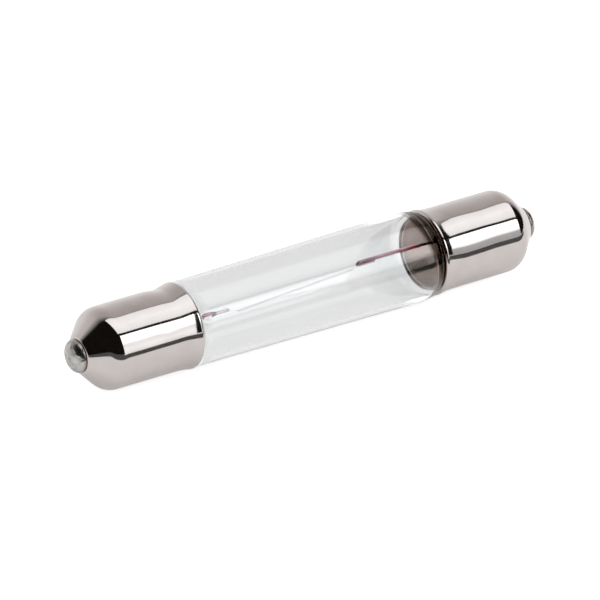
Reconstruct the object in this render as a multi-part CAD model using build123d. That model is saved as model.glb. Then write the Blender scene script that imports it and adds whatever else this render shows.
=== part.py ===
from build123d import *
import os
from math import cos, radians, sin, tan

os.makedirs("parts", exist_ok=True)

# Sizes in millimetres. The lamp lies along X with its middle at the origin, and Z is up.
overall_length = 39.0

# The two drawn metal caps
cap_diameter = 6.0
cap_wall = 0.22
cap_depth = 9.25  # from the mouth to the top of the solder bead
flare_length = 1.5
flare_growth = 0.18  # how far the mouth stands out beyond the cylinder
lip_rounding = 0.2
shoulder_radius = 1.45
nose_half_angle = 46.5  # degrees, between the cone's side and the lamp's axis
nose_flat_diameter = 2.6
nose_rounding = 0.04  # inside the edge of the nose's flat
tip_hole_diameter = 1.2

# The solder bead on each tip
bead_diameter = 2.46
bead_height = 0.75
wire_cover = 0.3  # solder left over the end of the wire

# The blown glass tube, a little wider at its right end
glass_wall = 0.35
glass_swell_left = 0.09  # how far the glass stands out beyond the cap's cylinder
glass_swell_right = 0.3
glass_rounding_left = 0.33  # of the shoulder beside the cap
glass_rounding_right = 0.48
neck_gap = 0.12  # between the glass neck and the inside of the cap
neck_wall = 0.2
shoulder_gap = 0.15  # between the glass shoulder and the cap's mouth
shoulder_thickness = 0.2  # of the glass along the lamp, where the hollow narrows to the neck
shoulder_length = 0.45  # over which the hollow narrows
neck_length = 3.0
dome_length = 0.9
dome_thickness = 0.15  # of the glass along the lamp, where the hollow's neck ends
seal_diameter = 1.7
seal_length = 1.4

# The cement that holds the glass in the cap
cement_setback = 1.8  # from the mouth to the front of the cement
cement_cover = 0.4  # cement behind the end of the seal

# The lead wires and the hooks that hold the filament
lead_diameter = 0.25
lead_bend_radius = 0.8
lead_straight = 0.5  # from the end of the hollow to the wire's first bend
lead_depth = 1.5  # from the mouth to the wire's second bend
lead_rise_left = 0.18  # how far the wire runs above the lamp's axis
lead_rise_right = 0.76
lead_reach_left = 4.12  # from the mouth to the end of the hook
lead_reach_right = 5.76
hook_length = 1.45
hook_turn = 30.0  # degrees, the hook's plane against the upright

# The coiled filament
filament_wire = 0.04
filament_tail = 0.3
coil_diameter = 0.18
coil_turns = 30
coil_offset = 0.32  # from the hook's eye to the coil's axis
coil_gap = 0.7  # from the hook's eye to the first turn

# Values that follow from the sizes
half_length = overall_length / 2
mouth_x = half_length - cap_depth
nose_x = half_length - bead_height
cap_radius = cap_diameter / 2
cap_bore = cap_radius - cap_wall
neck_radius = cap_bore - neck_gap
neck_bore = neck_radius - neck_wall
seal_radius = seal_diameter / 2
shoulder_x = mouth_x - shoulder_gap
neck_end_x = mouth_x + neck_length
dome_end_x = neck_end_x + dome_length
seal_end_x = dome_end_x + seal_length
hollow_end_x = dome_end_x - glass_wall
hollow_shoulder_x = shoulder_x - shoulder_thickness
cement_front_x = mouth_x + cement_setback
cement_back_x = seal_end_x + cement_cover
lead_radius = lead_diameter / 2
bend_radius = (lead_diameter + filament_wire) / 2


def turned(corners):
    """Turns an outline about the lamp's axis. Each corner is a place along it, a radius and a rounding."""
    points = [(x, radius) for x, radius, _ in corners]
    roundings = [rounding for _, _, rounding in corners]
    return revolve(make_face(FilletPolyline(points, radius=roundings, close=True)), axis=Axis.X)


def make_cap():
    """The right cap: one even sheet, drawn from the punched nose to the flared mouth."""
    cone_x = nose_x - (cap_radius - nose_flat_diameter / 2) / tan(radians(nose_half_angle))
    flare_x = mouth_x + flare_length
    drawn = FilletPolyline(
        (nose_x, tip_hole_diameter / 2),
        (nose_x, nose_flat_diameter / 2),
        (cone_x, cap_radius),
        (flare_x, cap_radius),
        radius=[cap_wall + nose_rounding, shoulder_radius],
    )
    flare = TangentArc((flare_x, cap_radius), (mouth_x, cap_radius + flare_growth), tangent=(-1, 0))
    sheet = make_face(offset(drawn + flare, amount=cap_wall, side=Side.LEFT))
    lip = sheet.vertices().sort_by(Axis.X)[:2].sort_by(Axis.Y)[-1]
    return revolve(fillet(lip, radius=lip_rounding), axis=Axis.X)


def make_bead():
    """The right solder bead: a dome on the nose and a plug through the punched hole."""
    bead_radius = bead_diameter / 2
    dome_sphere = (bead_radius**2 + bead_height**2) / (2 * bead_height)
    plug = Polyline(
        (half_length, 0),
        (nose_x - cap_wall, 0),
        (nose_x - cap_wall, tip_hole_diameter / 2),
        (nose_x, tip_hole_diameter / 2),
        (nose_x, bead_radius),
    )
    dome = RadiusArc((nose_x, bead_radius), (half_length, 0), dome_sphere)
    return revolve(make_face(plug + dome), axis=Axis.X)


def tube_radius(side):
    """The outer radius of the glass beside one cap."""
    return cap_radius + (glass_swell_left if side < 0 else glass_swell_right)


def envelope_corners(side):
    """One end of the outside of the glass, from the tip of the seal to the shoulder beside the cap."""
    rounding = glass_rounding_left if side < 0 else glass_rounding_right
    return [
        (side * seal_end_x, 0, 0),
        (side * seal_end_x, seal_radius, 0),
        (side * dome_end_x, seal_radius, 0),
        (side * neck_end_x, neck_radius, 0),
        (side * shoulder_x, neck_radius, 0),
        (side * shoulder_x, tube_radius(side), rounding),
    ]


def hollow_corners(side):
    """One end of the inside of the glass, one wall in from the outside."""
    return [
        (side * hollow_end_x, 0, 0),
        (side * (neck_end_x - dome_thickness), neck_bore, 0),
        (side * hollow_shoulder_x, neck_bore, 0),
        (side * (hollow_shoulder_x - shoulder_length), tube_radius(side) - glass_wall, 0),
    ]


def make_cement(side, envelope, lead):
    """The ring of cement between the sealed end of the glass and the cap's wall."""
    length = cement_back_x - cement_front_x
    ring = Cylinder(cap_bore, length, rotation=(0, 90, 0))
    return Pos(side * (cement_front_x + length / 2), 0, 0) * ring - envelope - lead


def hook_frame(side):
    """The eye of a lead wire's hook, the way its end is folded, and the way the filament stands off it."""
    rise = lead_rise_left if side < 0 else lead_rise_right
    reach = lead_reach_left if side < 0 else lead_reach_right
    eye_x = side * (mouth_x - reach + bend_radius + lead_radius)
    fold = Vector(0, sin(radians(hook_turn)), -cos(radians(hook_turn)))
    eye = Vector(eye_x, 0, rise) + fold * bend_radius
    return eye, fold, fold.cross(Vector(1, 0, 0))


def make_lead(side):
    """A lead wire from the solder bead, through the seal, to the hook folded back at its end."""
    eye, fold, _ = hook_frame(side)
    inward = Vector(-side, 0, 0)
    hook_start = eye - fold * bend_radius
    hook_end = eye + fold * bend_radius
    run = FilletPolyline(
        (side * (half_length - wire_cover), 0, 0),
        (side * (hollow_end_x - lead_straight), 0, 0),
        (side * (mouth_x + lead_depth), 0, hook_start.Z),
        hook_start,
        radius=lead_bend_radius,
    )
    bend = ThreePointArc(hook_start, eye + inward * bend_radius, hook_end)
    back = Line(hook_end, hook_end - inward * (hook_length - bend_radius))
    path = run + bend + back
    return sweep(Plane(path @ 0, z_dir=path % 0) * Circle(lead_radius), path=path)


def make_filament():
    """The tungsten coil, with a straight tail at each end that passes through a hook's eye."""
    left_eye, _, aside = hook_frame(-1)
    right_eye, _, _ = hook_frame(1)
    coil_left = left_eye + aside * coil_offset + Vector(coil_gap, 0, 0)
    coil_right = right_eye + aside * coil_offset - Vector(coil_gap, 0, 0)
    coil_axis = coil_right - coil_left
    coil = Helix(
        pitch=coil_axis.length / coil_turns,
        height=coil_axis.length,
        radius=(coil_diameter - filament_wire) / 2,
        center=coil_left,
        direction=coil_axis,
    )
    clear_of_hook = aside * (lead_radius + filament_wire)
    left_tail = Line(left_eye - aside * filament_tail, left_eye + clear_of_hook)
    right_tail = Line(right_eye + clear_of_hook, right_eye - aside * filament_tail)
    left_leg = Spline(left_tail @ 1, coil @ 0, tangents=[aside, coil % 0])
    right_leg = Spline(coil @ 1, right_tail @ 0, tangents=[coil % 1, -aside])
    path = Wire([left_tail, left_leg, coil, right_leg, right_tail])
    section = Plane(path @ 0, z_dir=path % 0) * RegularPolygon(filament_wire / 2, 4)
    return sweep(section, path=path)


cap_right = make_cap()
bead_right = make_bead()
lead_left = make_lead(-1)
lead_right = make_lead(1)
envelope = turned(envelope_corners(-1) + envelope_corners(1)[::-1])
hollow = turned(hollow_corners(-1) + hollow_corners(1)[::-1])

parts = {
    "glass_tube": envelope - hollow - lead_left - lead_right,
    "cap_left": mirror(cap_right, about=Plane.YZ),
    "cap_right": cap_right,
    "solder_tip_left": mirror(bead_right, about=Plane.YZ) - lead_left,
    "solder_tip_right": bead_right - lead_right,
    "lead_wire_left": lead_left,
    "lead_wire_right": lead_right,
    "filament": make_filament(),
    "cement_left": make_cement(-1, envelope, lead_left),
    "cement_right": make_cement(1, envelope, lead_right),
}
for node, part in parts.items():
    export_step(part, f"parts/{node}.step")
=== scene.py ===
import math

import bmesh
import bpy
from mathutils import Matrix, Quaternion, Vector, noise


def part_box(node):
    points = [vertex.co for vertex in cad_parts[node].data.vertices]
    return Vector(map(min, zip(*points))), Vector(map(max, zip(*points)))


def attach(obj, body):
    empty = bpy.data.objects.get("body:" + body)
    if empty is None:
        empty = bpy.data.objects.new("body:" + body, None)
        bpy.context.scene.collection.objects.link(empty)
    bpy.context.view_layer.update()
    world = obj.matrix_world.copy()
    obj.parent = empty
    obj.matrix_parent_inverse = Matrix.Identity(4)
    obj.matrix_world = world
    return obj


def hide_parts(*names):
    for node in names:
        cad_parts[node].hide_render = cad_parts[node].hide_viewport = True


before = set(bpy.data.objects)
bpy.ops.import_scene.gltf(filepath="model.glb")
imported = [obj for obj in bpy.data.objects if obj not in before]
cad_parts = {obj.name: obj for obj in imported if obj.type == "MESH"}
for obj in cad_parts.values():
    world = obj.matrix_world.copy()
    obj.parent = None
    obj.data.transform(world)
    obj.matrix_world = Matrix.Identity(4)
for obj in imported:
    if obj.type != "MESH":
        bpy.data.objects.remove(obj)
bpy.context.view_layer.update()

# Sizes in millimetres, in the part's own frame: the lamp lies along X and Z is up
MM = 0.001
LEFT, RIGHT = -1, 1
SIDE_NAMES = {LEFT: "left", RIGHT: "right"}


def edges_mm(node):
    """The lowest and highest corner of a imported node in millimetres."""
    low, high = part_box(node)
    return low / MM, high / MM


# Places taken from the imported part
half_length = edges_mm("solder_tip_right")[1].x
bead_radius = edges_mm("solder_tip_right")[1].z
cap_low, cap_high = edges_mm("cap_right")
nose_x = cap_high.x
seal_end_x = edges_mm("glass_tube")[1].x
floor_z = edges_mm("glass_tube")[0].z
cement_front_x = edges_mm("cement_right")[0].x
cement_back_x = edges_mm("cement_right")[1].x

# The caps
cap_radius = 3.0
cap_wall = 0.22
flare_length = 1.5
flare_growth = 0.18
shoulder_radius = 1.45
nose_half_angle = math.radians(46.5)
nose_flat_radius = 1.3
nose_rounding = 0.26
hole_radius = 0.6
lip_rounding = 0.2
cap_bore = cap_radius - cap_wall
flare_turn = 2 * math.atan(flare_growth / flare_length)
mouth_x = cap_low.x + cap_wall * math.sin(flare_turn)

# The caps' wear: slow waves all round, and a soft dent beside the left mouth
wave_height = 0.02
wave_scale = 0.45
dent_depth = 0.09
dent_x = -11.5
dent_length = 0.75
dent_angle = math.radians(-25)
dent_spread = math.radians(40)

# The solder
bead_squareness = 0.82
bead_roughness = 0.07
bead_lumps = 1.3
flux_height = 0.22  # of the brown foot of the bead

# The cement's uneven front, and the brown streaks drawn out from it along the right cap's wall
cement_gap = 0.004  # between the cement and what it holds
cement_unevenness = 0.25
cement_lumps = 2
cement_slant = 0.5
slant_angle = math.radians(330)
streak_angles = (math.radians(219), math.radians(238))
streak_width = math.radians(8)
streak_length = 1.7
streak_sharpness = 4

# The glass
glass_wall = 0.35
tube_radius = {LEFT: 3.09, RIGHT: edges_mm("glass_tube")[1].z}
tube_rounding = {LEFT: 0.33, RIGHT: 0.42}  # of the shoulder beside the cap
crown_drop = {LEFT: 0.0, RIGHT: 0.17}  # how far the tube is drawn in before that shoulder
crown_rounding = {LEFT: 0.0, RIGHT: 7.0}
crown_length = 1.0
neck_radius = 2.66
neck_bore = 2.46
shoulder_x = 10.1
shoulder_foot_rounding = 0.05
neck_end_x = 13.25
neck_end_rounding = 0.5
dome_end_x = 14.15
dome_end_rounding = 0.2
seal_radius = 0.85
seal_rounding = 0.25
hollow_end_x = 13.8
hollow_neck_end_x = 13.1
hollow_neck_end_rounding = 0.3
hollow_shoulder_x = 9.9
hollow_shoulder_rounding = 0.1
hollow_tube_x = 9.45
hollow_tube_rounding = 0.6

# The film on the right end of the glass and, beside it, brown painted shade of the gap between the glass's
# shoulder and the cap's lip, which both slant back at the top
film_from_x = 6.3
film_to_x = 9.7
film_slant = 0.25
gap_shade_from_x = 9.5
gap_shade_to_x = 10.7
gap_shade_from_y = 1.0  # the painted shade is on the front of the glass only
gap_shade_full_y = -0.5
neck_from_x = 10.2  # the glass is whiter from here on

# The wires
lead_radius = 0.125
wire_cover = 0.3  # solder left over the end of the wire
wire_end_x = half_length - wire_cover
lead_bend_x = 13.15
lead_level_x = 11.75
lead_bend_rounding = 0.8
lead_rise = {LEFT: 0.18, RIGHT: 0.76}
hook_tip_x = {LEFT: edges_mm("lead_wire_left")[1].x, RIGHT: edges_mm("lead_wire_right")[0].x}
hook_length = 1.45
hook_bend = 0.15
hook_turn = math.radians(30)
hook_thinning = {LEFT: 0.5, RIGHT: 0.0}  # share of the wire's thickness that is rolled away
thinning_length = 0.3
# Where the sheath's painted shade in the cap is darkest
sheath_dark_x = {LEFT: 13.5, RIGHT: 11.2}
filament_radius = 0.01
filament_tail = 0.3
coil_radius = 0.07
coil_turns = 80
coil_offset = 0.32
coil_gap = 0.7

# How finely round stretches are divided
ARC_STEP = math.radians(5)
LATHE_SEGMENTS = 144
RING_STEP = 0.2
FLARE_STEPS = 24
LIP_STEPS = 16
DOME_STEPS = 20
TURN_STEPS = 24
LEAD_SIDES = 20
FILAMENT_SIDES = 6
AXIS_TOLERANCE = 1e-6

# Colours. Shades are the darker and the lighter one that a surface drifts between
BLACK, WHITE = (0, 0, 0), (1, 1, 1)
plate_shades = (0.6, 0.545, 0.525), (0.64, 0.585, 0.565)
brass_shades = (0.86, 0.54, 0.38), (0.95, 0.64, 0.47)
glass_shades = (0.87, 0.872, 0.872), (0.885, 0.887, 0.887)
film_sheen = (1, 0.74, 0.63)
painted_gap_shade_tint = (0.3, 0.18, 0.13)
# Brown painted shade of the gap at the right cap's lip, and the dim tint that its reflections get there
painted_gap_shade_colour = (0.2, 0.11, 0.075)
solder_shades = (0.3, 0.29, 0.28), (0.56, 0.53, 0.51)
flux_colour = (0.16, 0.1, 0.065)
tungsten_shades = (0.36, 0.36, 0.37), (0.46, 0.46, 0.47)
cement_shades = (0.05, 0.028, 0.018), (0.12, 0.075, 0.05)
sheath_grey = (0.34, 0.19, 0.24)
# A dark band on the left wire next to the end of its hook
sheath_dark_spot = (0.14, 0.06, 0.08)
sheath_bare = (0.85, 0.7, 0.74)
# The red sheath made pale: a painted highlight
sheath_pale_painted_highlight = (0.74, 0.38, 0.48)
sheath_pink = (0.95, 0.36, 0.49)
sheath_red = (0.95, 0.07, 0.19)
# The red sheath darkened: painted shade deep in the cap
sheath_maroon_painted_shade = (0.16, 0.02, 0.035)

# The sheath's colours from the tip of the hook to the dark end in the cap. Its pale stretch is painted
# highlight and its maroon end is painted shade deep in the cap
hook_stops = {
    LEFT: [(0.19, sheath_bare), (0.225, sheath_dark_spot), (0.26, sheath_dark_spot), (0.3, sheath_pale_painted_highlight)],
    RIGHT: [(0.22, sheath_grey), (0.35, sheath_pale_painted_highlight)],
}
sheath_stops = [(0.46, sheath_pale_painted_highlight), (0.64, sheath_pink), (0.75, sheath_red), (0.86, sheath_maroon_painted_shade)]


# Shapes

def rounded(corners):
    """Close points along an outline or path. Each corner is a point and the rounding there."""
    points = []
    for index, (corner, rounding) in enumerate(corners):
        if not rounding:
            points.append(corner.copy())
            continue
        to_last = (corners[index - 1][0] - corner).normalized()
        to_next = (corners[(index + 1) % len(corners)][0] - corner).normalized()
        half = to_last.angle(to_next) / 2
        centre = corner + (to_last + to_next).normalized() * rounding / math.sin(half)
        start = corner + to_last * rounding / math.tan(half) - centre
        turn = math.pi - 2 * half
        axis = to_next.cross(to_last)
        steps = max(2, math.ceil(turn / ARC_STEP))
        for step in range(steps + 1):
            points.append(centre + Quaternion(axis, turn * step / steps) @ start)
    return points


def divided(points):
    """The same run of points with long straight stretches cut into shorter ones."""
    result = [points[0]]
    for point in points[1:]:
        last = result[-1]
        pieces = max(1, math.ceil((point - last).length / RING_STEP))
        result += [last.lerp(point, step / pieces) for step in range(1, pieces + 1)]
    return result


def at(x, radius, rounding=0.0):
    """A corner of an outline that is turned about the lamp's axis."""
    return Vector((x, 0, radius)), rounding


def mirrored(points, side):
    """Points drawn for the right end of the lamp, set at either end."""
    return [Vector((side * point.x, point.y, point.z)) for point in points]


def add_mesh(name, vertices, faces):
    """A smooth mesh object from vertices in millimetres."""
    mesh = bpy.data.meshes.new(name)
    mesh.from_pydata([tuple(vertex * MM) for vertex in vertices], [], faces)
    mesh.polygons.foreach_set("use_smooth", [True] * len(mesh.polygons))
    work = bmesh.new()
    work.from_mesh(mesh)
    bmesh.ops.recalc_face_normals(work, faces=work.faces)
    work.to_mesh(mesh)
    work.free()
    piece = bpy.data.objects.new(name, mesh)
    bpy.context.scene.collection.objects.link(piece)
    return piece


def lathe(name, outline, shape=None):
    """Turns a closed outline about X. Points on the axis become poles. shape moves a vertex, and is
    given its angle and the number of its ring."""
    vertices, rings = [], []
    for point in outline:
        on_axis = point.z < AXIS_TOLERANCE
        ring = []
        for segment in range(1 if on_axis else LATHE_SEGMENTS):
            angle = math.tau * segment / LATHE_SEGMENTS
            vertex = Vector((point.x, -point.z * math.sin(angle), point.z * math.cos(angle)))
            ring.append(len(vertices))
            vertices.append(shape(vertex, angle, len(rings)) if shape else vertex)
        rings.append(ring)
    faces = []
    for ring, following in zip(rings, rings[1:] + rings[:1]):
        for segment in range(LATHE_SEGMENTS):
            here, there = segment, (segment + 1) % LATHE_SEGMENTS
            corners = [
                ring[here % len(ring)],
                following[here % len(following)],
                following[there % len(following)],
                ring[there % len(ring)],
            ]
            face = list(dict.fromkeys(corners))
            if len(face) > 2:
                faces.append(face)
    return add_mesh(name, vertices, faces)


def tube(name, path, radius, sides):
    """A round wire along a path, closed at both ends. radius is a function of the point."""
    vertices, faces = [], []
    tangents = [(after - before).normalized() for before, after in zip(path, path[1:])]
    tangents.append(tangents[-1])
    across = tangents[0].orthogonal().normalized()
    for point, tangent in zip(path, tangents):
        across = (across - tangent * across.dot(tangent)).normalized()
        along = tangent.cross(across)
        size = radius(point)
        for side in range(sides):
            angle = math.tau * side / sides
            vertices.append(point + size * (across * math.cos(angle) + along * math.sin(angle)))
    for ring in range(len(path) - 1):
        for side in range(sides):
            first, second = ring * sides + side, ring * sides + (side + 1) % sides
            faces.append((first, second, second + sides, first + sides))
    faces.append(tuple(range(sides))[::-1])
    faces.append(tuple(range(len(vertices) - sides, len(vertices))))
    return add_mesh(name, vertices, faces)


def finish_piece(piece, node, material):
    """Gives a piece its material and its place in the part."""
    piece.data.materials.append(material)
    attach(piece, "root")
    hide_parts(node)


# Shader nodes

def new_material(name):
    """A node material and its main shader."""
    material = bpy.data.materials.new(name)
    material.use_nodes = True
    return material, material.node_tree, material.node_tree.nodes["Principled BSDF"]


def bare_material(name):
    """A node material with nothing on its surface yet, and the socket of that surface."""
    material, tree, shader = new_material(name)
    tree.nodes.remove(shader)
    return material, tree, tree.nodes["Material Output"].inputs["Surface"]


def set_inputs(tree, node, values):
    """Sets a node's inputs, each by a link from another node, a colour or a number."""
    for key, value in values.items():
        socket = node.inputs[key]
        if isinstance(value, bpy.types.NodeSocket):
            tree.links.new(value, socket)
        elif isinstance(value, tuple) and socket.type == "RGBA":
            socket.default_value = (*value, 1)
        else:
            socket.default_value = value


def add_place(tree, space="Object"):
    """The X, Y and Z sockets of the place that is shaded."""
    place = tree.nodes.new("ShaderNodeTexCoord")
    split = tree.nodes.new("ShaderNodeSeparateXYZ")
    tree.links.new(place.outputs[space], split.inputs[0])
    return split.outputs


def add_math(tree, operation, *values):
    """A sum. Each value is a number or a link."""
    node = tree.nodes.new("ShaderNodeMath")
    node.operation = operation
    set_inputs(tree, node, dict(enumerate(values)))
    return node.outputs[0]


def add_mix(tree, factor, first, second):
    """The second colour mixed over the first. Each is a colour or a link."""
    node = tree.nodes.new("ShaderNodeMix")
    node.data_type = "RGBA"
    set_inputs(tree, node, {"Factor": factor, "A": first, "B": second})
    return node.outputs["Result"]


def add_noise(tree, scale, detail=4.0, stretch=(1, 1, 1)):
    """A noise texture in object space, with its scale per metre."""
    place = tree.nodes.new("ShaderNodeTexCoord")
    mapping = tree.nodes.new("ShaderNodeMapping")
    texture = tree.nodes.new("ShaderNodeTexNoise")
    set_inputs(tree, mapping, {"Vector": place.outputs["Object"], "Scale": stretch})
    set_inputs(tree, texture, {"Vector": mapping.outputs["Vector"], "Scale": scale, "Detail": detail})
    return texture.outputs["Fac"]


def add_ramp(tree, factor, stops):
    """A colour ramp. Each stop is a place and a colour."""
    ramp = tree.nodes.new("ShaderNodeValToRGB")
    elements = ramp.color_ramp.elements
    while len(elements) < len(stops):
        elements.new(0.5)
    for element, (place, colour) in zip(elements, stops):
        element.position = place
        element.color = (*colour, 1)
    tree.links.new(factor, ramp.inputs["Fac"])
    return ramp.outputs["Color"]


def add_shades(tree, cloud, shades, reach=(0.3, 0.7)):
    """A colour that drifts between two shades with the noise."""
    return add_ramp(tree, cloud, list(zip(reach, shades)))


def add_range(tree, value, low, high, from_low=0.0, from_high=1.0):
    """A value moved from one range to another."""
    node = tree.nodes.new("ShaderNodeMapRange")
    set_inputs(tree, node, {
        "Value": value,
        "From Min": from_low,
        "From Max": from_high,
        "To Min": low,
        "To Max": high,
    })
    return node.outputs["Result"]


def add_reach(tree, value, start, end):
    """0 to 1 between two places in millimetres."""
    return add_range(tree, value, low=0.0, high=1.0, from_low=start * MM, from_high=end * MM)


def add_bump(tree, shader, height, strength, distance):
    """Fine relief on a shader's normal."""
    bump = tree.nodes.new("ShaderNodeBump")
    set_inputs(tree, bump, {"Height": height, "Strength": strength, "Distance": distance})
    tree.links.new(bump.outputs["Normal"], shader.inputs["Normal"])


# Materials of the lamp

def nickel_material():
    """Bright plate, with dull bare brass where a cap's inside is marked."""
    material, tree, shader = new_material("nickel")
    cloud = add_noise(tree, scale=900)
    plate = add_shades(tree, cloud, plate_shades)
    brass = add_shades(tree, cloud, brass_shades)
    marks = tree.nodes.new("ShaderNodeAttribute")
    marks.attribute_name = "inside"
    inside = marks.outputs["Fac"]
    inside_dullness = 0.5
    dullness = add_range(tree, cloud, low=0.05, high=0.1)
    set_inputs(tree, shader, {
        "Base Color": add_mix(tree, inside, plate, brass),
        "Metallic": add_range(tree, inside, low=1.0, high=0.1),
        "Roughness": add_math(tree, "MULTIPLY_ADD", inside, inside_dullness, dullness),
    })
    return material


def glass_material():
    """Clear glass, with a glossy warm film and brown painted shade at its right end, by the gap at the
    cap's lip.
    """
    material, tree, shader = new_material("glass")
    cloud = add_noise(tree, scale=120, detail=2.0)
    clear = add_shades(tree, cloud, glass_shades)
    place = add_place(tree)
    neck = add_mix(tree, add_reach(tree, place["X"], neck_from_x, gap_shade_to_x), clear, WHITE)
    slanted = add_math(tree, "MULTIPLY_ADD", place["Z"], film_slant, place["X"])
    along_film = add_reach(tree, slanted, film_from_x, film_to_x)
    film = add_ramp(tree, along_film, [(0, BLACK), (0.5, WHITE), (0.9, WHITE), (1, BLACK)])
    # Brown painted shade of the gap between the glass's shoulder and the cap's lip, on the front only, with
    # its reflections dimmed there too
    along_gap_shade = add_reach(tree, slanted, gap_shade_from_x, gap_shade_to_x)
    ring = add_ramp(tree, along_gap_shade, [(0, BLACK), (0.1, WHITE), (0.75, WHITE), (1, BLACK)])
    front = add_reach(tree, place["Y"], gap_shade_from_y, gap_shade_full_y)
    painted_gap_shade = add_math(tree, "MULTIPLY", ring, front)
    along_both = add_reach(tree, slanted, film_from_x, gap_shade_to_x)
    sheen_stops = [(0, WHITE), (0.4, film_sheen), (0.72, film_sheen), (0.79, painted_gap_shade_tint)]
    set_inputs(tree, shader, {
        "Base Color": add_mix(tree, painted_gap_shade, neck, painted_gap_shade_colour),
        "Roughness": add_range(tree, cloud, low=0.0, high=0.01),
        "Transmission Weight": 1.0,
        "IOR": 1.52,
        "Specular Tint": add_ramp(tree, along_both, sheen_stops),
        "Coat Weight": film,
        "Coat Roughness": 0.02,
        "Coat IOR": 1.65,
    })
    return material


def solder_material():
    """Dull solder with brown flux round its foot."""
    material, tree, shader = new_material("solder")
    cloud = add_noise(tree, scale=2500)
    metal = add_shades(tree, cloud, solder_shades, reach=(0.35, 0.65))
    along = add_math(tree, "ABSOLUTE", add_place(tree)["X"])
    uneven = add_math(tree, "MULTIPLY_ADD", cloud, -2 * flux_height * MM, along)
    clean = add_reach(tree, uneven, nose_x - flux_height, nose_x)
    set_inputs(tree, shader, {
        "Base Color": add_mix(tree, clean, flux_colour, metal),
        "Metallic": 1.0,
        "Roughness": add_range(tree, cloud, low=0.12, high=0.3),
    })
    add_bump(tree, shader, cloud, strength=0.35, distance=0.0002)
    return material


def lead_material(side):
    """The wire's red sheath, painted paler and duller towards the hook to stand in for its highlights, and
    painted dark maroon deep in the cap for the shade there.
    """
    material, tree, shader = new_material(f"lead_sheath_{SIDE_NAMES[side]}")
    cloud = add_noise(tree, scale=3000, stretch=(0.2, 1, 1))
    unevenness = 0.1
    along_wire = add_reach(tree, add_place(tree)["X"], hook_tip_x[side], side * sheath_dark_x[side])
    uneven = add_math(tree, "MULTIPLY_ADD", cloud, unevenness, along_wire)
    set_inputs(tree, shader, {
        "Base Color": add_ramp(tree, uneven, hook_stops[side] + sheath_stops),
        "Metallic": 0.3,
        "Roughness": add_range(tree, cloud, low=0.2, high=0.4),
        "Coat Weight": 0.5,
        "Coat Roughness": 0.1,
    })
    return material


def tungsten_material():
    """Grey drawn wire."""
    material, tree, shader = new_material("tungsten")
    cloud = add_noise(tree, scale=6000)
    set_inputs(tree, shader, {
        "Base Color": add_shades(tree, cloud, tungsten_shades),
        "Metallic": 1.0,
        "Roughness": add_range(tree, cloud, low=0.3, high=0.45),
    })
    return material


def cement_material():
    """Rough dark brown cement."""
    material, tree, shader = new_material("cement")
    cloud = add_noise(tree, scale=2200)
    set_inputs(tree, shader, {
        "Base Color": add_shades(tree, cloud, cement_shades),
        "Roughness": add_range(tree, cloud, low=0.6, high=0.85),
    })
    add_bump(tree, shader, cloud, strength=0.5, distance=0.0001)
    return material


# Caps

def cap_sheet():
    """The right cap's closed outline, in two runs: the drawn sheet's outside with its round lip, and
    its inside."""
    cone_x = nose_x - (cap_radius - nose_flat_radius) / math.tan(nose_half_angle)
    flare_x = mouth_x + flare_length
    drawn = divided(rounded([
        at(nose_x, hole_radius),
        at(nose_x, nose_flat_radius, nose_rounding),
        at(cone_x, cap_radius, shoulder_radius),
        at(flare_x, cap_radius),
    ]))
    flare_bend = flare_length / math.sin(flare_turn)
    for step in range(1, FLARE_STEPS + 1):
        turn = flare_turn * step / FLARE_STEPS
        x = flare_x - flare_bend * math.sin(turn)
        drawn.append(Vector((x, 0, cap_radius + flare_bend * (1 - math.cos(turn)))))
    ways = [(after - before).normalized() for before, after in zip(drawn, drawn[1:])]
    ways = [ways[0]] + [(a + b).normalized() for a, b in zip(ways, ways[1:])] + [ways[-1]]
    outward = [Vector((way.z, 0, -way.x)) for way in ways]
    inside = [point - away * cap_wall for point, away in zip(drawn, outward)]
    edge, way, away = drawn[-1], ways[-1], outward[-1]
    outside = [point for point in drawn if (point - edge).length > lip_rounding]
    centre = edge - (way + away) * lip_rounding
    for step in range(LIP_STEPS + 1):
        turn = math.pi / 2 * step / LIP_STEPS
        outside.append(centre + (away * math.cos(turn) + way * math.sin(turn)) * lip_rounding)
    return outside, inside[::-1]


def make_cap(side, material):
    """A worn cap whose inside is marked for the material."""
    name = f"cap_{SIDE_NAMES[side]}"
    outside, inside = cap_sheet()

    def worn(vertex, angle, ring):
        """Moves the outside by the slow waves in the metal and by the dent."""
        if ring >= len(outside):
            return vertex
        outward = Vector((0, -math.sin(angle), math.cos(angle)))
        off_lip = max(0, abs(vertex.x) - mouth_x - lip_rounding)
        off_nose = max(0, vertex.dot(outward) - nose_flat_radius)
        fade = min(1, off_lip / flare_length) * min(1, off_nose / (cap_radius - nose_flat_radius))
        wave = wave_height * noise.noise(vertex * wave_scale) * fade
        aside = (angle - dent_angle + math.pi) % math.tau - math.pi
        dent = dent_depth * math.exp(-((vertex.x - dent_x) / dent_length)**2 - (aside / dent_spread)**2)
        return vertex + outward * (wave - dent * min(1, off_lip))

    piece = lathe(f"{name}_shell", mirrored(outside + inside, side), worn)
    marks = piece.data.attributes.new("inside", "FLOAT", "POINT")
    ring_marks = [0.0] * len(outside) + [1.0] * len(inside)
    marks.data.foreach_set("value", [mark for mark in ring_marks for _ in range(LATHE_SEGMENTS)])
    finish_piece(piece, name, material)


# Solder tips

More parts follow.
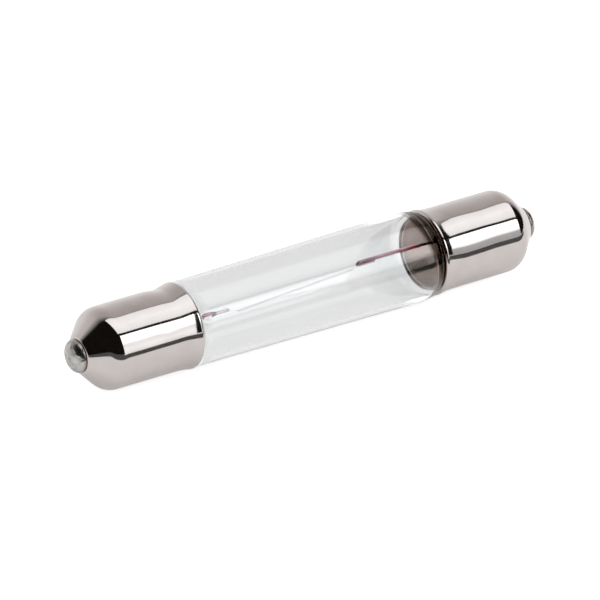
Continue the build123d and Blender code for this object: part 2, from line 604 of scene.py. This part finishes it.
def make_bead(side, material):
    """An uneven bead of solder, with a plug that fills the cap's hole round the wire."""
    name = f"solder_tip_{SIDE_NAMES[side]}"
    height = half_length - nose_x
    dome = []
    for step in range(DOME_STEPS + 1):
        angle = math.pi / 2 * step / DOME_STEPS
        along, across = math.cos(angle)**bead_squareness, math.sin(angle)**bead_squareness
        dome.append(Vector((nose_x + height * along, 0, bead_radius * across)))
    plug = [
        Vector((nose_x, 0, hole_radius)),
        Vector((nose_x - cap_wall, 0, hole_radius)),
        Vector((nose_x - cap_wall, 0, lead_radius)),
        Vector((wire_end_x, 0, lead_radius)),
        Vector((wire_end_x, 0, 0)),
    ]

    def lumpy(vertex, angle, ring):
        """Draws the dome in unevenly."""
        base = Vector((side * nose_x, 0, 0))
        rise = max(0, abs(vertex.x) - nose_x) / height
        lump = (1 + noise.noise(vertex * bead_lumps)) / 2
        return vertex - (vertex - base).normalized() * bead_roughness * lump * rise

    piece = lathe(f"{name}_blob", mirrored(dome + plug, side), lumpy)
    finish_piece(piece, name, material)


# Glass envelope

def glass_end(side):
    """One end of the glass, from the bore for the wire to the tube."""
    return [
        at(side * seal_end_x, lead_radius),
        at(side * seal_end_x, seal_radius, seal_rounding),
        at(side * dome_end_x, seal_radius, dome_end_rounding),
        at(side * neck_end_x, neck_radius, neck_end_rounding),
        at(side * shoulder_x, neck_radius, shoulder_foot_rounding),
        at(side * shoulder_x, tube_radius[side] - crown_drop[side], tube_rounding[side]),
        at(side * (shoulder_x - crown_length), tube_radius[side], crown_rounding[side]),
    ]


def hollow_end(side):
    """One end of the hollow, from the bore for the wire to the tube."""
    return [
        at(side * hollow_end_x, lead_radius),
        at(side * hollow_neck_end_x, neck_bore, hollow_neck_end_rounding),
        at(side * hollow_shoulder_x, neck_bore, hollow_shoulder_rounding),
        at(side * hollow_tube_x, tube_radius[side] - glass_wall, hollow_tube_rounding),
    ]


def make_glass(material):
    """The envelope, turned in one with its hollow."""
    outside = glass_end(LEFT) + glass_end(RIGHT)[::-1]
    inside = hollow_end(RIGHT) + hollow_end(LEFT)[::-1]
    piece = lathe("glass_envelope", divided(rounded(outside + inside)))
    finish_piece(piece, "glass_tube", material)


# Cement

def make_cement(side, material):
    """The ring of cement round the sealed end of the glass."""
    name = f"cement_{SIDE_NAMES[side]}"
    outline = [
        Vector((cement_front_x, 0, neck_radius + cement_gap)),
        Vector((cement_front_x, 0, cap_bore - cement_gap)),
        Vector((cement_back_x, 0, cap_bore - cement_gap)),
        Vector((cement_back_x, 0, lead_radius + cement_gap)),
        Vector((seal_end_x + cement_gap, 0, lead_radius + cement_gap)),
        Vector((seal_end_x + cement_gap, 0, seal_radius + cement_gap)),
        Vector((dome_end_x + cement_gap, 0, seal_radius + cement_gap)),
        Vector((neck_end_x + cement_gap, 0, neck_radius + cement_gap)),
    ]

    def uneven(vertex, angle, ring):
        """Moves the front to and fro, and draws the streaks out of it at the right end."""
        if abs(vertex.x) > cement_front_x + cement_gap:
            return vertex
        spoke = Vector((side, math.sin(angle), math.cos(angle)))
        shift = cement_unevenness * noise.noise(spoke * cement_lumps)
        shift -= cement_slant * math.cos(angle - slant_angle)
        if side == RIGHT:
            for streak in streak_angles:
                shift -= streak_length * math.exp(-((angle - streak) / streak_width)**streak_sharpness)
        return vertex + Vector((side * shift, 0, 0))

    piece = lathe(f"{name}_ring", mirrored(divided(outline), side), uneven)
    finish_piece(piece, name, material)


# Lead wires and filament

def hook_frame(side):
    """The eye of a hook, the way its end is folded and the way the filament stands off it."""
    fold = Vector((0, math.sin(hook_turn), -math.cos(hook_turn)))
    eye_x = hook_tip_x[side] + side * (hook_bend + lead_radius)
    eye = Vector((eye_x, 0, lead_rise[side])) + fold * hook_bend
    return eye, fold, fold.cross(Vector((1, 0, 0)))


def make_lead(side, material):
    """A lead wire from the solder to the hook folded back at its end."""
    name = f"lead_wire_{SIDE_NAMES[side]}"
    eye, fold, _ = hook_frame(side)
    bend_x = eye.x - side * hook_bend
    turn_start = Vector((bend_x, 0, lead_rise[side]))
    turn_end = turn_start + fold * 2 * hook_bend
    hook_end = turn_end + Vector((side * hook_length, 0, 0))
    path = rounded([
        (Vector((side * wire_end_x, 0, 0)), 0),
        (Vector((side * lead_bend_x, 0, 0)), lead_bend_rounding),
        (Vector((side * lead_level_x, 0, lead_rise[side])), lead_bend_rounding),
        (turn_start, hook_bend),
        (turn_end, hook_bend),
        (hook_end, 0),
    ])

    def thickness(point):
        """The wire's radius, which is less where the hook was rolled thin."""
        into_hook = side * (hook_end.x - point.x) / thinning_length
        return lead_radius * (1 - hook_thinning[side] * min(1, max(0, into_hook)))

    piece = tube(f"{name}_wire", divided(path), thickness, LEAD_SIDES)
    finish_piece(piece, name, material)


def make_filament(material):
    """The tungsten coil, with a straight tail at each end that passes through a hook's eye."""
    left_eye, _, aside = hook_frame(LEFT)
    right_eye, _, _ = hook_frame(RIGHT)
    along = Vector((1, 0, 0))
    coil_left = left_eye + aside * coil_offset + along * coil_gap
    coil_right = right_eye + aside * coil_offset - along * coil_gap
    axis = (coil_right - coil_left).normalized()
    across = axis.orthogonal().normalized()
    coil_steps = coil_turns * TURN_STEPS
    coil = []
    for step in range(coil_steps + 1):
        spoke = Quaternion(axis, math.tau * step / TURN_STEPS) @ across * coil_radius
        coil.append(coil_left.lerp(coil_right, step / coil_steps) + spoke)
    clear = aside * (lead_radius + filament_radius)
    left_tail = [left_eye - aside * filament_tail, left_eye + clear]
    right_tail = [right_eye + clear, right_eye - aside * filament_tail]
    path = left_tail + coil + right_tail
    piece = tube("filament_coil", path, lambda point: filament_radius, FILAMENT_SIDES)
    finish_piece(piece, "filament", material)


nickel = nickel_material()
solder = solder_material()
cement = cement_material()
for end in (LEFT, RIGHT):
    make_cap(end, nickel)
    make_bead(end, solder)
    make_cement(end, cement)
    make_lead(end, lead_material(end))
make_glass(glass_material())
make_filament(tungsten_material())


# The stage's sizes in millimetres
floor_half_size = 2000
softbox_distance = 400
flag_y = -13
flag_outline = [(-60, -2.1), (45, -2.1), (45, 0.6), (0, 0.6), (-8, 0.2), (-14, 0.2), (-16, 1.0), (-60, 2.5)]

# The stage's colours, and the floor's own glow towards the camera and in mirrors
floor_grey = (0.8, 0.8, 0.8)
floor_camera_glow = 0.7
floor_mirror_glow = 0.2
softbox_tint = (0.955, 1.0, 1.02)
flag_grey = (0.14, 0.14, 0.14)

# The room, by the direction looked in. Mirrors show walls that darken upwards and a dark front, which is
# narrowest at one X. Everything else is lit by one plain grey
room_plain = (0.75, 0.75, 0.75)
room_low_wall = (0.98, 0.98, 0.98)
room_high_wall = (0.55, 0.53, 0.52)
room_high_z = 0.8
room_dark = (0.006, 0.005, 0.004)
room_dark_x = 0.5
room_dark_slant = -0.35
room_dark_y = -0.045
room_light_y = 0.285

# The camera, with its distance and aim in millimetres
camera_azimuth = math.radians(-33.855)
camera_elevation = math.radians(26.354)
camera_distance = 616.95
camera_aim_right = -0.197
camera_aim_up = -0.781
camera_lens = 526.9
camera_sensor = 36
camera_clip_m = (0.01, 10)


# Floor

def floor_material():
    """White to the camera and through the glass, and still darkened by the lamp's shadow."""
    material, tree, surface = bare_material("floor_white")
    rays = tree.nodes.new("ShaderNodeLightPath").outputs
    card = tree.nodes.new("ShaderNodeBsdfDiffuse")
    set_inputs(tree, card, {"Color": floor_grey})
    mirror_glow = add_math(tree, "MULTIPLY", rays["Is Glossy Ray"], floor_mirror_glow)
    glow = tree.nodes.new("ShaderNodeEmission")
    strength = add_math(tree, "MULTIPLY_ADD", rays["Is Camera Ray"], floor_camera_glow, mirror_glow)
    set_inputs(tree, glow, {"Strength": strength})
    lit = tree.nodes.new("ShaderNodeAddShader")
    set_inputs(tree, lit, {0: card.outputs[0], 1: glow.outputs[0]})
    through_glass = tree.nodes.new("ShaderNodeEmission")
    seen = tree.nodes.new("ShaderNodeMixShader")
    set_inputs(tree, seen, {
        "Fac": rays["Is Transmission Ray"],
        1: lit.outputs[0],
        2: through_glass.outputs[0],
    })
    tree.links.new(seen.outputs[0], surface)
    return material


def make_floor():
    """A wide white floor that the lamp lies on."""
    ways = (-1, -1), (1, -1), (1, 1), (-1, 1)
    corners = [Vector((x * floor_half_size, y * floor_half_size, floor_z)) for x, y in ways]
    floor = add_mesh("floor", corners, [(0, 1, 2, 3)])
    floor.data.materials.append(floor_material())


make_floor()


# Softboxes

def softbox_material(name, strength, shares):
    """A glow whose strength changes from the card's low edge to its top edge. Each share has a place."""
    material, tree, surface = bare_material(name)
    stops = [(height, [part * share for part in softbox_tint]) for height, share in shares]
    glow = tree.nodes.new("ShaderNodeEmission")
    fall = add_ramp(tree, add_place(tree, "Generated")["Y"], stops)
    set_inputs(tree, glow, {"Color": fall, "Strength": strength})
    tree.links.new(glow.outputs[0], surface)
    return material


def make_softbox(name, angles, top, low, strength, shares):
    """A long flat panel beside the lamp. angles are about the lamp's axis, from straight up towards the
    front, and top and low are where its edges start and end along X, as shares of the distance."""
    middle = math.radians(sum(angles) / 2)
    half_width = softbox_distance * math.tan(math.radians(angles[1] - angles[0]) / 2)
    centre = Vector((0, -math.sin(middle), math.cos(middle))) * softbox_distance
    across = Vector((0, -math.cos(middle), -math.sin(middle))) * half_width
    corners = []
    for x, way in ((top[0], -1), (top[1], -1), (low[1], 1), (low[0], 1)):
        corners.append(centre + across * way + Vector((x * softbox_distance, 0, 0)))
    card = add_mesh(name, corners, [(0, 1, 2, 3)])
    card.data.materials.append(softbox_material(f"{name}_glow", strength, shares))
    card.visible_camera = False
    card.visible_shadow = False


make_softbox(
    "softbox_top", angles=(-13, 35), top=(-0.28, 1.1), low=(0.03, 1.1),
    strength=1.55, shares=[(0, 0.85), (0.5, 1), (1, 0.85)],
)
make_softbox(
    "softbox_high", angles=(42, 64), top=(0.15, 1.13), low=(0.18, 1.13),
    strength=3.0, shares=[(0, 0.9), (0.5, 1), (1, 0.9)],
)
make_softbox(
    "softbox_low", angles=(64, 92), top=(0.18, 0.552), low=(0.21, 0.552),
    strength=1.55, shares=[(0, 0.85), (0.45, 1), (0.8, 0.85), (1, 1)],
)
make_softbox(
    "softbox_end", angles=(64, 92), top=(0.552, 1.13), low=(0.552, 1.13),
    strength=2.2, shares=[(0, 0.25), (0.6, 0.3), (0.85, 1)],
)


# Flag

def make_flag():
    """A dark strip in front of the lamp, which draws the dark line below its highlights."""
    corners = [Vector((x, flag_y, z)) for x, z in flag_outline]
    flag = add_mesh("flag", corners, [tuple(range(len(corners)))])
    material, tree, shader = new_material("flag_black")
    set_inputs(tree, shader, {"Base Color": flag_grey, "Roughness": 1.0, "Specular IOR Level": 0.0})
    flag.data.materials.append(material)
    flag.visible_camera = False
    flag.visible_diffuse = False
    flag.visible_shadow = False


make_flag()


# World

def make_world():
    """White to the camera, plain light for everything, and a room with a dark front for mirrors to show."""
    world = bpy.data.worlds.new("studio")
    bpy.context.scene.world = world
    world.use_nodes = True
    tree = world.node_tree
    way = add_place(tree, "Generated")
    wall = add_ramp(tree, way["Z"], [(0.0, room_low_wall), (room_high_z, room_high_wall)])
    aside = add_math(tree, "ABSOLUTE", add_math(tree, "SUBTRACT", way["X"], room_dark_x))
    slant = add_math(tree, "MULTIPLY_ADD", aside, room_dark_slant, way["Y"])
    darkness = add_range(tree, slant, low=1.0, high=0.0, from_low=room_dark_y, from_high=room_light_y)
    room = add_mix(tree, darkness, wall, room_dark)
    rays = tree.nodes.new("ShaderNodeLightPath").outputs
    direct = add_range(tree, rays["Diffuse Depth"], low=1.0, high=0.0)
    in_mirror = add_math(tree, "MULTIPLY", rays["Is Glossy Ray"], direct)
    seen = add_mix(tree, in_mirror, room_plain, room)
    shown = add_mix(tree, rays["Is Camera Ray"], seen, WHITE)
    tree.links.new(shown, tree.nodes["Background"].inputs["Color"])


make_world()


# Camera

def make_camera():
    """The camera, in the place that the photograph was taken from."""
    back = Vector((
        math.sin(camera_azimuth) * math.cos(camera_elevation),
        -math.cos(camera_azimuth) * math.cos(camera_elevation),
        math.sin(camera_elevation),
    ))
    right = Vector((math.cos(camera_azimuth), math.sin(camera_azimuth), 0))
    up = back.cross(right)
    aim = right * camera_aim_right + up * camera_aim_up
    data = bpy.data.cameras.new("camera")
    data.sensor_width = camera_sensor
    data.lens = camera_lens
    data.clip_start, data.clip_end = camera_clip_m
    camera = bpy.data.objects.new("camera", data)
    camera.location = (aim + back * camera_distance) * MM
    camera.rotation_euler = (-back).to_track_quat("-Z", "Y").to_euler()
    bpy.context.scene.collection.objects.link(camera)
    bpy.context.scene.camera = camera


make_camera()
bpy.context.scene.view_settings.view_transform = "Standard"
